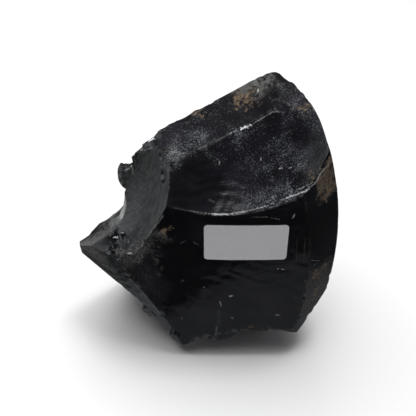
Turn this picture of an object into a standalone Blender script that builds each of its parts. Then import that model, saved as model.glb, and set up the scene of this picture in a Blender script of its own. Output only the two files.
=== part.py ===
"""A fist-sized chunk of obsidian with a small paper sticker on its front face.

Volcanic glass has no grain, so it breaks along conchoidal scars: shallow
shell-shaped dishes (or, where a flake came off a rounded nodule, low domes)
that meet in sharp edges called aretes. The chunk is made the way such a piece
comes about. A rough block is struck flake by flake, and each flake is one
cutter whose underside is the scar it leaves behind.

Frame: metres, +Z up, -Y is the front with the sticker, the origin is the middle
of the object's footprint, and the flat resting scar lies at Z = 0.
"""

import math

import bmesh
import bpy
from mathutils import Matrix, Vector

MM = 0.001

# The rough block that the flakes come off, in millimetres.
BLOCK_SIZE = (150.0, 110.0, 160.0)
BLOCK_CENTRE = (0.0, 0.0, 78.0)

# How closely the flat quads of a dish or dome follow the true curve, in millimetres.
CHORD_ERROR = 0.03
FLAKE_REACH = 130.0
DOME_REACH = 165.0
LID_HEIGHT = 75.0

# One scar to a row, in the order in which the flakes came off:
#   a point on the scar (x, y, z in mm); its outward normal as a heading (degrees
#   from +X towards +Y) and a pitch (degrees above level); its radius across and
#   its radius up the scar in mm (positive is a hollow dish, negative a dome,
#   0 is straight); and how far those two directions are rolled about the normal.
ROUGH_OUT = {
    "rest": ((2.0, 1.0, 0.0), 0.0, -90.0, 0, 0, 0),
    "back_left": ((6.5, 5.1, 134.5), 120.3, 27.9, -441, -964, 0),
    "back_low": ((12.0, 40.2, 53.0), 90.0, -4.0, -120, -200, 0),
    "right_dome": ((51.5, 6.1, 112.7), 24.8, 15.2, -67, -156, 0),
    "spike_back": ((-52.2, -6.6, 81.5), 128.5, 12.0, 0, 0, 0),
    "spike_under": ((-45.8, -21.4, 40.2), 214.0, -40.0, 0, 0, 0),
    "spike_tip": ((-62.6, -17.5, 62.0), 192.0, -4.0, 0, 0, 0),
    "right_under": ((48.5, -33.5, 19.0), 14.0, -31.0, 0, 0, 0),
    "top_ear": ((26.5, 12.0, 140.7), -90.0, 77.5, 0, 0, 0),
    "left_shoulder": ((-26.0, -6.0, 116.0), -172.0, 45.0, 0, 0, 0),
    "front_under": ((17.0, -36.0, 18.0), -81.0, -47.0, 110, 0, 0),
    "notch_back": ((-41.6, -6.0, 75.0), 150.0, 31.6, 40, 34, 0),
}

# Knobs that the rough blows left standing: centre and half sizes in mm.
KNOBS = {
    "knob_left_rim": ((-35.6, -3.0, 95.0), (6.3, 7.5, 8.6)),
    "knob_spike_edge": ((-28.5, -28.5, 24.5), (4.5, 5.0, 4.0)),
    "knob_foot": ((-10.8, -33.2, 13.2), (7.6, 6.0, 6.4)),
    "knob_sole": ((7.5, -32.0, 15.5), (11.0, 6.5, 6.0)),
}

SHAPED = {
    "right_flank": ((59.5, -30.5, 73.0), -52.0, 2.0, -170, -380, 0),
    "right_patch": ((59.7, -25.9, 107.3), -52.6, 16.9, 54, 31, 0),
    "front": ((19.0, -39.0, 83.0), -90.0, 0.0, -400, 0, 0),
    "front_left": ((-29.0, -34.5, 62.5), -108.0, -1.0, 0, 0, 0),
    "spike_front": ((-32.1, -33.1, 48.0), -125.1, -11.4, 0, 0, 0),
    "upper_shelf": ((0.5, 0.0, 125.5), -111.0, 65.0, 70, 250, 0),
    "upper_bowl": ((7.0, -21.5, 113.0), -92.0, 46.0, 85, 130, 0),
    "spike_notch": ((-38.3, -15.8, 81.0), 174.8, 16.0, 13, 28, -20),
    "left_scallop": ((-23.5, -10.5, 121.0), -139.5, 2.5, 29, 65, -1),
    "scallop_rim": ((-16.0, -28.8, 108.4), -155.9, 28.6, 21, -321, 8.3),
}

# The sticker: a small rounded address label, bent to the front scar, in mm.
STICKER_WIDTH = 38.1
STICKER_HEIGHT = 21.2
STICKER_THICKNESS = 0.3
STICKER_GAP = 0.3
STICKER_CORNER = 1.6
STICKER_CENTRE = SHAPED["front"][0]
STICKER_BEND_RADIUS = 400.0
STICKER_STRIPS = 12

CHUNK_COLOUR = (0.012, 0.012, 0.014, 1.0)
STICKER_COLOUR = (0.62, 0.62, 0.64, 1.0)


def clear_scene():
    for old in list(bpy.data.objects):
        bpy.data.objects.remove(old, do_unlink=True)


def material(name, colour, roughness):
    made = bpy.data.materials.new(name)
    made.use_nodes = True
    shader = made.node_tree.nodes["Principled BSDF"]
    shader.inputs["Base Color"].default_value = colour
    shader.inputs["Roughness"].default_value = roughness
    shader.inputs["Metallic"].default_value = 0.0
    made.diffuse_color = colour
    return made


def face_outward(shape):
    bmesh.ops.recalc_face_normals(shape, faces=list(shape.faces))
    if shape.calc_volume(signed=True) < 0.0:
        bmesh.ops.reverse_faces(shape, faces=list(shape.faces))


def object_from(name, shape, finish=None):
    face_outward(shape)
    mesh = bpy.data.meshes.new(name)
    shape.to_mesh(mesh)
    shape.free()
    made = bpy.data.objects.new(name, mesh)
    bpy.context.scene.collection.objects.link(made)
    if finish is not None:
        mesh.materials.append(finish)
    return made


def scar_axes(heading, pitch, roll):
    """The outward normal of a scar and its two tangent directions."""
    heading = math.radians(heading)
    pitch = math.radians(pitch)
    normal = Vector(
        (
            math.cos(pitch) * math.cos(heading),
            math.cos(pitch) * math.sin(heading),
            math.sin(pitch),
        )
    )
    level = Vector((-math.sin(heading), math.cos(heading), 0.0))
    turn = Matrix.Rotation(math.radians(roll), 3, normal)
    across = turn @ level
    return normal, across, normal.cross(across)


def half_width(radius):
    """How far a scar's patch reaches: to where a dish has risen past the lid."""
    if radius > 0:
        return min(FLAKE_REACH, math.sqrt(2.0 * radius * LID_HEIGHT))
    return DOME_REACH if radius < 0 else FLAKE_REACH


def strips(radius):
    """How many straight strips keep the patch within CHORD_ERROR of the curve."""
    if radius == 0:
        return 1
    chord = math.sqrt(8.0 * abs(radius) * CHORD_ERROR)
    return math.ceil(2.0 * half_width(radius) / chord)


def rise(distance, radius):
    return 0.0 if radius == 0 else distance * distance / (2.0 * radius)


def flake(name, scar):
    """The piece that came away: the scar's curve below, a flat lid above it."""
    point, heading, pitch, radius_across, radius_up, roll = scar
    normal, across, up = scar_axes(heading, pitch, roll)
    origin = Vector(point)
    shape = bmesh.new()
    bmesh.ops.create_grid(
        shape,
        x_segments=strips(radius_across),
        y_segments=strips(radius_up),
        size=1.0,
    )
    lid = 2.0 * LID_HEIGHT + 10.0
    underside = list(shape.verts)
    raised = bmesh.ops.extrude_face_region(shape, geom=list(shape.faces))
    top = [part for part in raised["geom"] if isinstance(part, bmesh.types.BMVert)]
    for vert in underside:
        b = vert.co.x * half_width(radius_across)
        c = vert.co.y * half_width(radius_up)
        height = rise(b, radius_across) + rise(c, radius_up)
        vert.co = (origin + across * b + up * c + normal * height) * MM
    for vert in top:
        b = vert.co.x * half_width(radius_across)
        c = vert.co.y * half_width(radius_up)
        vert.co = (origin + across * b + up * c + normal * lid) * MM
    return object_from(name, shape)


def knob(name, centre, half_sizes):
    shape = bmesh.new()
    bmesh.ops.create_icosphere(shape, subdivisions=2, radius=1.0)
    bmesh.ops.scale(shape, vec=Vector(half_sizes) * MM, verts=list(shape.verts))
    bmesh.ops.translate(shape, vec=Vector(centre) * MM, verts=list(shape.verts))
    return object_from(name, shape)


def strike(body, tool, operation):
    """Adds one Boolean step to the chunk and hides the shape that it uses."""
    step = body.modifiers.new(tool.name, "BOOLEAN")
    step.operation = operation
    step.solver = "EXACT"
    step.object = tool
    tool.hide_render = True
    tool.display_type = "WIRE"


def make_chunk(finish):
    shape = bmesh.new()
    bmesh.ops.create_cube(shape, size=1.0)
    bmesh.ops.scale(shape, vec=Vector(BLOCK_SIZE) * MM, verts=list(shape.verts))
    bmesh.ops.translate(shape, vec=Vector(BLOCK_CENTRE) * MM, verts=list(shape.verts))
    chunk = object_from("obsidian_chunk", shape, finish)
    for name, scar in ROUGH_OUT.items():
        strike(chunk, flake("flake_" + name, scar), "DIFFERENCE")
    for name, (centre, half_sizes) in KNOBS.items():
        strike(chunk, knob(name, centre, half_sizes), "UNION")
    for name, scar in SHAPED.items():
        strike(chunk, flake("flake_" + name, scar), "DIFFERENCE")
    return chunk


def settle(body, sharp_angle):
    """Applies the Boolean steps, then shades the dishes smooth between the aretes."""
    graph = bpy.context.evaluated_depsgraph_get()
    made = bpy.data.meshes.new_from_object(body.evaluated_get(graph))
    tools = [step.object for step in body.modifiers]
    body.modifiers.clear()
    body.data = made
    for tool in tools:
        bpy.data.objects.remove(tool, do_unlink=True)
    made.shade_smooth()
    made.set_sharp_from_angle(angle=math.radians(sharp_angle))


def make_sticker(finish):
    """A rounded slab, cut into upright strips and bent to the front scar."""
    shape = bmesh.new()
    bmesh.ops.create_cube(shape, size=1.0)
    size = Vector((STICKER_WIDTH, STICKER_THICKNESS, STICKER_HEIGHT)) * MM
    bmesh.ops.scale(shape, vec=size, verts=list(shape.verts))
    corners = [
        edge
        for edge in shape.edges
        if abs(edge.verts[0].co.y - edge.verts[1].co.y) > 0.5 * STICKER_THICKNESS * MM
    ]
    bmesh.ops.bevel(
        shape,
        geom=corners,
        offset=STICKER_CORNER * MM,
        offset_type="OFFSET",
        segments=5,
        profile=0.5,
        affect="EDGES",
    )
    for index in range(1, STICKER_STRIPS):
        x = STICKER_WIDTH * MM * (index / STICKER_STRIPS - 0.5)
        bmesh.ops.bisect_plane(
            shape,
            geom=list(shape.verts) + list(shape.edges) + list(shape.faces),
            dist=1e-7,
            plane_co=(x, 0.0, 0.0),
            plane_no=(1.0, 0.0, 0.0),
        )
    stand_off = STICKER_GAP + 0.5 * STICKER_THICKNESS
    for vert in shape.verts:
        vert.co.y += vert.co.x**2 / (2.0 * STICKER_BEND_RADIUS * MM) - stand_off * MM
    sticker = object_from("paper_sticker", shape, finish)
    sticker.location = Vector(STICKER_CENTRE) * MM
    sticker.data.shade_smooth()
    sticker.data.set_sharp_from_angle(angle=math.radians(30.0))
    return sticker


def main():
    clear_scene()
    obsidian = material("obsidian", CHUNK_COLOUR, 0.12)
    paper = material("sticker_paper", STICKER_COLOUR, 0.75)
    chunk = make_chunk(obsidian)
    settle(chunk, 14.0)
    make_sticker(paper)


main()
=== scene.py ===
# %% [markdown]
# # A chunk of obsidian with a paper sticker
#
# Obsidian is volcanic glass. It cooled too fast for crystals to grow, so nothing inside it guides a
# crack. A blow sends a crack out like a ripple in water, and the flake that comes away leaves a
# shell-shaped scar. This lesson rebuilds a fist-sized chunk from such scars with numpy, gives the
# glass its gloss, dust and rusty stains with shader nodes, and puts a small paper sticker on it.
#
# The packed solids come first. They fix the place and the size of everything made here.

import math

import bpy
import numpy as np
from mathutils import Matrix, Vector


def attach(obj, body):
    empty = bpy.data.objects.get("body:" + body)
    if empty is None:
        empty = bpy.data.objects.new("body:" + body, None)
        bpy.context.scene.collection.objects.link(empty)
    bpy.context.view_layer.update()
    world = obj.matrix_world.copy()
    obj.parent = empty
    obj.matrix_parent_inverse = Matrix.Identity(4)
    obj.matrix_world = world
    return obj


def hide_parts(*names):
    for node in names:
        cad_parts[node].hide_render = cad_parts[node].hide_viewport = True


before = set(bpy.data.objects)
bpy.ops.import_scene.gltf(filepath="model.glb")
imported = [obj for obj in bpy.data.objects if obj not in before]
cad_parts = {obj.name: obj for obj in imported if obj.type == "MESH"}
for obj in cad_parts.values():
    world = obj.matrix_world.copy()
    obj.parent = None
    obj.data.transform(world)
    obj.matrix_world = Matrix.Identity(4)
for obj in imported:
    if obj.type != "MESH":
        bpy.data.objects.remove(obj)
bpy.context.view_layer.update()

# %% [markdown]
# ## The camera
#
# The chunk is seen from in front and above, as on a table. A Track To constraint could aim the camera,
# but a place and one angle are plainer to read. It turns about the X axis only, so the picture isn't
# tilted, and a 60 mm lens at arm's length keeps the near parts from looking swollen.

# %% Camera
MM = 0.001
MM_IN_METRE = 1000.0
LENS_MM = 60.0
SENSOR_MM = 36.0
LOOK_DOWN_DEG = 40.0
CAMERA_PLACE_MM = (1.8, -270.2, 297.5)

camera_data = bpy.data.cameras.new("table_camera")
camera_data.lens = LENS_MM
camera_data.sensor_width = SENSOR_MM
camera_data.clip_start = 0.01
camera = bpy.data.objects.new("table_camera", camera_data)
camera.location = [v * MM for v in CAMERA_PLACE_MM]
camera.rotation_euler = (math.radians(90.0 - LOOK_DOWN_DEG), 0.0, 0.0)
bpy.context.scene.collection.objects.link(camera)
bpy.context.scene.camera = camera
print("camera", tuple(round(v, 3) for v in camera.location))

# %% [markdown]
# ## The scars
#
# Each scar is a paraboloid: near its middle a dish (or a dome) is a parabola in both directions, and
# a parabola keeps the arithmetic short. A row holds a point on the scar in millimetres, its outward
# direction as a heading and a pitch, the radius across and up it (positive is hollow, negative is
# domed, 0 is straight), and how far those two directions roll. A knob is an ellipsoid: its middle and
# its half sizes. The rows are the same as the solid's, in the same order. The heart is a point inside
# the chunk from which all of its skin can be seen.

# %% Scar table
ROUGH_OUT = {
    "rest": ((2.0, 1.0, 0.0), 0.0, -90.0, 0, 0, 0),
    "back_left": ((6.5, 5.1, 134.5), 120.3, 27.9, -441, -964, 0),
    "back_low": ((12.0, 40.2, 53.0), 90.0, -4.0, -120, -200, 0),
    "right_dome": ((51.5, 6.1, 112.7), 24.8, 15.2, -67, -156, 0),
    "spike_back": ((-52.2, -6.6, 81.5), 128.5, 12.0, 0, 0, 0),
    "spike_under": ((-45.8, -21.4, 40.2), 214.0, -40.0, 0, 0, 0),
    "spike_tip": ((-62.6, -17.5, 62.0), 192.0, -4.0, 0, 0, 0),
    "right_under": ((48.5, -33.5, 19.0), 14.0, -31.0, 0, 0, 0),
    "top_ear": ((26.5, 12.0, 140.7), -90.0, 77.5, 0, 0, 0),
    "left_shoulder": ((-26.0, -6.0, 116.0), -172.0, 45.0, 0, 0, 0),
    "front_under": ((17.0, -36.0, 18.0), -81.0, -47.0, 110, 0, 0),
    "notch_back": ((-41.6, -6.0, 75.0), 150.0, 31.6, 40, 34, 0),
}
KNOBS = {
    "knob_left_rim": ((-35.6, -3.0, 95.0), (6.3, 7.5, 8.6)),
    "knob_spike_edge": ((-28.5, -28.5, 24.5), (4.5, 5.0, 4.0)),
    "knob_foot": ((-10.8, -33.2, 13.2), (7.6, 6.0, 6.4)),
    "knob_sole": ((7.5, -32.0, 15.5), (11.0, 6.5, 6.0)),
}
SHAPED = {
    "right_flank": ((59.5, -30.5, 73.0), -52.0, 2.0, -170, -380, 0),
    "right_patch": ((59.7, -25.9, 107.3), -52.6, 16.9, 54, 31, 0),
    "front": ((19.0, -39.0, 83.0), -90.0, 0.0, -400, 0, 0),
    "front_left": ((-29.0, -34.5, 62.5), -108.0, -1.0, 0, 0, 0),
    "spike_front": ((-32.1, -33.1, 48.0), -125.1, -11.4, 0, 0, 0),
    "upper_shelf": ((0.5, 0.0, 125.5), -111.0, 65.0, 70, 250, 0),
    "upper_bowl": ((7.0, -21.5, 113.0), -92.0, 46.0, 85, 130, 0),
    "spike_notch": ((-38.3, -15.8, 81.0), 174.8, 16.0, 13, 28, -20),
    "left_scallop": ((-23.5, -10.5, 121.0), -139.5, 2.5, 29, 65, -1),
    "scallop_rim": ((-16.0, -28.8, 108.4), -155.9, 28.6, 21, -321, 8.3),
}
HEART_MM = np.array([1.8, -7.0, 73.0])
SURFACES = list(ROUGH_OUT) + list(KNOBS) + list(SHAPED)
CODE = {name: index for index, name in enumerate(SURFACES)}
BITE_CODE = len(SURFACES)
print(len(ROUGH_OUT) + len(SHAPED), "scars and", len(KNOBS), "knobs")

# %% [markdown]
# ## Rays from the heart
#
# A Boolean for each scar would work, but on a fine mesh it is slow and leaves slivers along the edges.
# Here the whole skin is one function instead: for a direction, how far is it from the heart to the
# glass's surface? For a single scar the answer is the root of a quadratic, and the nearest scar wins.

# %% Distance to one scar


def scar_axes(heading, pitch, roll):
    """Outward direction of a scar, and its two tangent directions turned by roll about it."""
    heading, pitch, roll = np.radians([heading, pitch, roll])
    outward = np.array(
        [np.cos(pitch) * np.cos(heading), np.cos(pitch) * np.sin(heading), np.sin(pitch)]
    )
    level = np.array([-np.sin(heading), np.cos(heading), 0.0])
    rising = np.cross(outward, level)
    across = np.cos(roll) * level + np.sin(roll) * rising
    return outward, across, np.cross(outward, across)


def bend_of(radius):
    return 0.0 if radius == 0 else 1.0 / radius


def reach_scar(rays, scar):
    """Distance r along each ray to height = half of (bend * distance squared), summed over the two
    tangent directions. Put into r it is A r^2 + B r + G = 0, and the first root is wanted."""
    point, heading, pitch, radius_across, radius_up, roll = scar
    outward, across, up = scar_axes(heading, pitch, roll)
    start = HEART_MM - np.array(point)
    bend_a, bend_u = bend_of(radius_across), bend_of(radius_up)
    ray_a, ray_u = rays @ across, rays @ up
    start_a, start_u = start @ across, start @ up
    a = -0.5 * (bend_a * ray_a**2 + bend_u * ray_u**2)
    b = rays @ outward - bend_a * start_a * ray_a - bend_u * start_u * ray_u
    g = start @ outward - 0.5 * (bend_a * start_a**2 + bend_u * start_u**2)
    root = b**2 - 4.0 * a * g
    below = b + np.sqrt(np.maximum(root, 0.0))
    good = (root >= 0.0) & (below > 1e-9)
    return np.where(good, -2.0 * g / np.where(good, below, 1.0), np.inf)


test_rays = np.array([[0.0, -1.0, 0.0], [0.0, 0.0, 1.0], [0.0, 0.0, -1.0]])
print("from the heart to the front scar in mm:", reach_scar(test_rays, SHAPED["front"])[0].round(2))

# %% [markdown]
# ## Knobs and bites
#
# A knob is a lump that the blows left standing, so a ray ends where it leaves the lump. A bite is the
# opposite, a ball of air, and a ray ends where it enters the ball. Both are quadratics too. Carving
# goes through the surfaces in the order in which they were struck.

# %% Carve the skin


def reach_knob(rays, knob):
    """Distance at which each ray leaves an ellipsoid: in coordinates divided by its half sizes it is
    a unit sphere. Rays that miss it get 0."""
    centre, half_sizes = (np.array(v) for v in knob)
    start = (HEART_MM - centre) / half_sizes
    ray = rays / half_sizes
    a = (ray**2).sum(1)
    b = ray @ start
    root = b**2 - a * (start @ start - 1.0)
    return np.where(root > 0.0, (-b + np.sqrt(np.maximum(root, 0.0))) / a, 0.0)


def reach_bite(rays, centre, radius):
    """Distance at which each ray enters a ball of air that bites into an edge."""
    to_ball = centre - HEART_MM
    along = rays @ to_ball
    root = along**2 - (to_ball @ to_ball - radius**2)
    good = (root > 0.0) & (along > 0.0)
    return np.where(good, along - np.sqrt(np.maximum(root, 0.0)), np.inf)


def carve(rays, bites=()):
    """Distance to the skin along each ray, which surface it is, and how far behind the next is."""
    reach = np.full(len(rays), np.inf)
    spare = np.full(len(rays), np.inf)
    owner = np.zeros(len(rays), int)

    def cut(distance, code):
        nearer = distance < reach
        spare[:] = np.minimum(spare, np.maximum(distance, reach))
        owner[nearer] = code
        reach[nearer] = distance[nearer]

    for name, scar in ROUGH_OUT.items():
        cut(reach_scar(rays, scar), CODE[name])
    for name, knob in KNOBS.items():
        distance = reach_knob(rays, knob)
        proud = distance > reach
        owner[proud] = CODE[name]
        spare[:] = np.where(proud, reach + np.abs(distance - reach), spare)
        reach[proud] = distance[proud]
    for name, scar in SHAPED.items():
        cut(reach_scar(rays, scar), CODE[name])
    for index, (centre, radius) in enumerate(bites):
        cut(reach_bite(rays, centre, radius), BITE_CODE + index)
    return reach, owner, spare - reach


print("front, top and bottom from the heart in mm:", carve(test_rays)[0].round(2))

# %% [markdown]
# ## A net of directions
#
# A globe's net crowds at its poles, so the directions come from a box instead. Its six sides are nets
# of square cells, blown up to a sphere with the tangent of the angle so that the cells stay even. The
# net leans to the front, where the scars are finest.

# %% Box net on a sphere
NET_COUNTS = (150, 90, 150)
NET_LEAN = 0.35


def box_net(counts):
    """Lattice points on the skin of a box with counts cells a side, and its quads facing outwards."""
    sides = []
    for axis in range(3):
        first, second = [a for a in range(3) if a != axis]
        i, j = np.meshgrid(np.arange(counts[first]), np.arange(counts[second]), indexing="ij")
        for level in (0, counts[axis]):
            corners = np.zeros(i.shape + (4, 3), int)
            corners[..., axis] = level
            for corner, (step_i, step_j) in enumerate(((0, 0), (1, 0), (1, 1), (0, 1))):
                corners[..., corner, first] = i + step_i
                corners[..., corner, second] = j + step_j
            outward = (level > 0) == (axis != 1)
            sides.append(corners.reshape(-1, 4, 3)[:, :: 1 if outward else -1])
    corners = np.concatenate(sides)
    width = max(counts) + 1
    keys = (corners[..., 0] * width + corners[..., 1]) * width + corners[..., 2]
    found, quads = np.unique(keys, return_inverse=True)
    lattice = np.stack([found // width**2, found // width % width, found % width], axis=1)
    return lattice, quads.reshape(-1, 4)


def unit(vectors):
    return vectors / np.linalg.norm(vectors, axis=-1, keepdims=True)


def net_rays(lattice, counts):
    """Tangent-spaced box point, blown to the unit sphere, then leaned towards -Y."""
    box = np.tan((2.0 * lattice / np.array(counts) - 1.0) * (math.pi / 4.0))
    return unit(unit(box) + np.array([0.0, -NET_LEAN, 0.0]))


lattice, quads = box_net(NET_COUNTS)
rays = net_rays(lattice, NET_COUNTS)
print(len(rays), "directions and", len(quads), "quads")

# %% [markdown]
# ## Bites along the edges
#
# A fresh edge of glass is sharper than a razor and just as weak. Every knock takes a tiny flake, so
# the edges are strings of small hollows. They could be sculpted, but then each would be a stroke by
# hand. Here each is a ball of air whose middle lies just outside an edge, placed at random within a
# group, and where it meets the glass it leaves a round scar of its own.

# %% Find the edges, then place the bites
BITE_GROUPS = (
    # what it is, middle in mm, reach in mm, how many, smallest and largest radius in mm, depth share
    ("scallop's right rim", (-18.0, -26.0, 107.0), 19.0, 12, 0.8, 2.0, 0.10),
    ("scallop's lower lip", (-37.0, -31.0, 66.0), 16.0, 30, 1.8, 5.0, 0.20),
    ("left shoulder", (-30.0, -8.0, 112.0), 22.0, 44, 2.0, 6.5, 0.24),
    ("spike", (-52.0, -17.0, 68.0), 20.0, 12, 1.5, 4.0, 0.10),
    ("lower left edge", (-38.0, -26.0, 40.0), 24.0, 22, 1.6, 4.5, 0.14),
    ("foot and bottom edge", (16.0, -36.0, 8.0), 33.0, 34, 2.0, 6.0, 0.20),
    ("front ridge", (20.0, -38.0, 100.0), 46.0, 6, 0.6, 1.6, 0.07),
    ("right edge", (57.0, -28.0, 78.0), 42.0, 12, 1.2, 4.0, 0.08),
    ("top ear", (37.0, 6.0, 138.0), 17.0, 34, 2.0, 7.0, 0.22),
    ("top edge", (-6.0, 12.0, 127.0), 22.0, 8, 2.0, 6.0, 0.12),
    ("back edges", (0.0, 60.0, 60.0), 90.0, 36, 3.5, 11.0, 0.16),
    ("lower right edge", (53.0, -31.0, 34.0), 20.0, 12, 1.4, 3.6, 0.14),
)
# 1 minus the cosine of the smallest turn that counts as an edge
LEAST_TURN = 0.02


def net_edges(faces):
    """Each edge of the quads once, as pairs of point numbers."""
    pairs = np.concatenate([faces[:, [k, (k + 1) % 4]] for k in range(4)])
    return np.unique(np.sort(pairs, axis=1), axis=0)


def scar_normals(points, owner):
    """Outward direction of the scar that owns each point: the paraboloid's gradient."""
    normals = unit(points - HEART_MM)
    for name, scar in {**ROUGH_OUT, **SHAPED}.items():
        mine = owner == CODE[name]
        outward, across, up = scar_axes(*scar[1:3], scar[5])
        offset = points[mine] - np.array(scar[0])
        slope_a = (offset @ across)[:, None] * bend_of(scar[3])
        slope_u = (offset @ up)[:, None] * bend_of(scar[4])
        normals[mine] = unit(outward - slope_a * across - slope_u * up)
    return normals


def place_bites(rays, edges, chance):
    """Balls of air at randomly picked edge points: the middle lies outwards by the radius less the
    depth, along a random mix of the outward directions of the two scars that meet."""
    reach, owner, _ = carve(rays)
    points = HEART_MM + rays * reach[:, None]
    normals = scar_normals(points, owner)
    ends = edges[owner[edges[:, 0]] != owner[edges[:, 1]]]
    middle = points[ends].mean(axis=1)
    turn = 1.0 - (normals[ends[:, 0]] * normals[ends[:, 1]]).sum(1)
    bites = []
    for _, centre, reach_mm, count, smallest, largest, share in BITE_GROUPS:
        near = np.linalg.norm(middle - np.array(centre), axis=1) < reach_mm
        near = np.flatnonzero(near & (turn > LEAST_TURN))
        picked = chance.choice(near, size=count)
        radius = smallest * (largest / smallest) ** chance.random(count) ** 1.5
        lean = chance.random(count)[:, None]
        side = normals[ends[picked, 0]] * lean + normals[ends[picked, 1]] * (1.0 - lean)
        depth = radius * share * chance.uniform(0.5, 1.5, count)
        centres = middle[picked] + unit(side) * (radius - depth)[:, None]
        bites += list(zip(centres, radius))
    return bites


edges = net_edges(quads)
bites = place_bites(rays, edges, np.random.default_rng(11))
print(len(edges), "net edges,", len(bites), "bites")

# %% [markdown]
# ## Pulling the net onto the edges
#
# Where the two ends of a net edge lie on different scars, the sharp edge runs somewhere between
# them. A much finer net would show it too, but moving the points is far cheaper: halving the gap ten
# times finds the edge, and the nearer end moves there.

# %% Snap the net and choose the diagonals


def crossing_share(start, end, start_owner, bites):
    """Share of the way from start to end at which the owner changes, by halving ten times."""
    low = np.zeros(len(start))
    high = np.ones(len(start))
    for _ in range(10):
        half = 0.5 * (low + high)
        _, owner, _ = carve(unit(start + (end - start) * half[:, None]), bites)
        same = owner == start_owner
        low = np.where(same, half, low)
        high = np.where(same, high, half)
    return 0.5 * (low + high)


def snap_net(rays, edges, bites):
    """Moves the nearer end of each crossed net edge to the crossing; returns rays and who moved."""
    _, owner, _ = carve(rays, bites)
    crossed = edges[owner[edges[:, 0]] != owner[edges[:, 1]]]
    share = crossing_share(rays[crossed[:, 0]], rays[crossed[:, 1]], owner[crossed[:, 0]], bites)
    target = rays[crossed[:, 0]] + (rays[crossed[:, 1]] - rays[crossed[:, 0]]) * share[:, None]
    mover = np.where(share < 0.5, crossed[:, 0], crossed[:, 1])
    effort = np.minimum(share, 1.0 - share)
    order = np.argsort(-effort)
    moved = rays.copy()
    moved[mover[order]] = unit(target[order])
    on_edge = np.zeros(len(rays), bool)
    on_edge[mover] = True
    return moved, on_edge


def cut_quads(points, quads, on_edge):
    """Two triangles a quad, along the shorter diagonal. One whose ends are both on sharp edges counts
    as half as long."""
    a, b, c, d = quads.T
    first = np.linalg.norm(points[a] - points[c], axis=1)
    second = np.linalg.norm(points[b] - points[d], axis=1)
    first = first * np.where(on_edge[a] & on_edge[c], 0.5, 1.0)
    second = second * np.where(on_edge[b] & on_edge[d], 0.5, 1.0)
    use_first = (first <= second)[:, None]
    one = np.where(use_first, np.stack([a, b, c], 1), np.stack([a, b, d], 1))
    two = np.where(use_first, np.stack([a, c, d], 1), np.stack([b, c, d], 1))
    return np.concatenate([one, two])


rays, on_edge = snap_net(rays, edges, bites)
reach, owner, clear = carve(rays, bites)
skin = HEART_MM + rays * reach[:, None]
triangles = cut_quads(skin, quads, on_edge)
print(int(on_edge.sum()), "points on sharp edges,", len(triangles), "triangles")

# %% [markdown]
# ## Smooth randomness
#
# Unevenness that still flows is needed again and again, both for shapes and for stains. Blender's
# noise textures could give it, but a sum of plane waves is short, smooth and the same on every run.

# %% Clouds, fades and soft balls
CLOUD_WAVES = 28
CLOUD_SPREAD = 0.7
PAINT_FALL = 0.45


def cloud(points, size, seed):
    """Smooth random field, mostly within -1..1: the sum of CLOUD_WAVES sine waves of about one
    length, each with its own random direction and start, scaled to the spread CLOUD_SPREAD."""
    chance = np.random.default_rng(seed)
    directions = unit(chance.normal(size=(CLOUD_WAVES, 3)))
    directions = directions * chance.uniform(0.7, 1.3, (CLOUD_WAVES, 1))
    starts = chance.uniform(0, 2 * math.pi, CLOUD_WAVES)
    turns = points @ directions.T * (2.0 * math.pi / size) + starts
    return np.sin(turns).sum(1) * math.sqrt(2.0 / CLOUD_WAVES) * CLOUD_SPREAD


def fade(value, low, high):
    """Smooth step from 0 at low to 1 at high."""
    t = np.clip((value - low) / (high - low), 0.0, 1.0)
    return t * t * (3.0 - 2.0 * t)


def paint(points, rows):
    """Sum over soft balls of amount * (1 - PAINT_FALL * (distance / radius)^2)^2, and 0 where that
    bracket would be negative, half as far again from the middle as the radius."""
    total = np.zeros(len(points))
    for centre, radius, amount in rows:
        near = ((points - np.array(centre)) ** 2).sum(1) / radius**2
        total += amount * np.clip(1.0 - PAINT_FALL * near, 0.0, 1.0) ** 2
    return total


print("one cloud's spread:", cloud(skin[::50], 12.0, 1).std().round(2))

# %% [markdown]
# ## Ripples and choppy places
#
# The crack that made a scar wavered as it ran, which left rings round the point where the blow
# landed. They are a quarter of a millimetre high at most, but black glass shows every one in its
# reflections. In four places beside the edges the crack stuttered and left the glass choppy, and the
# lip of the left scallop is hollowed as well. All of this is a height in millimetres, added along the
# ray. A Displace modifier could add it too, but here it can fade out where two scars meet.

# %% Relief along the rays
RIPPLES = {
    # scar: where the blow landed, ring spacing and height in mm
    "upper_bowl": ((6.0, 19.0, 152.0), 5.2, 0.045),
    "upper_shelf": ((-12.0, -20.0, 121.0), 7.0, 0.09),
    "left_scallop": ((-22.0, -8.0, 142.0), 2.6, 0.02),
    "front": ((60.0, -40.0, 130.0), 9.0, 0.05),
    "front_left": ((-24.0, -37.0, 82.0), 6.0, 0.05),
    "spike_front": ((-60.0, -20.0, 66.0), 5.0, 0.12),
    "spike_notch": ((-30.0, -8.0, 90.0), 3.5, 0.08),
    "right_flank": ((55.0, -32.0, 110.0), 8.0, 0.02),
    "back_left": ((10.0, 20.0, 140.0), 9.0, 0.25),
    "right_dome": ((50.0, 10.0, 130.0), 9.0, 0.15),
}


def ring_relief(points, centre, spacing, height):
    """Rings round centre: the cosine of distance over spacing, warped a little by clouds. Half of it
    is multiplied by its own size, which narrows the crests and the troughs."""
    distance = np.linalg.norm(points - np.array(centre), axis=1)
    phase = distance / spacing + 0.5 * cloud(points, 28.0, 5) + 0.15 * cloud(points, 9.0, 6)
    crest = np.cos(2.0 * math.pi * phase)
    return height * (0.5 * crest + 0.5 * crest * np.abs(crest))


CHATTER = (
    # middle and radius in mm, depth of the hollow and height of the chop in mm
    ((-40.5, -26.5, 67.0), 8.0, 1.6, 0.40),
    ((-34.0, -31.0, 70.0), 5.0, 0.3, 0.30),
    ((-26.0, -7.0, 116.0), 7.0, 0.0, 0.35),
    ((-14.0, -14.0, 118.5), 6.0, 0.0, 0.25),
)
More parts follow.
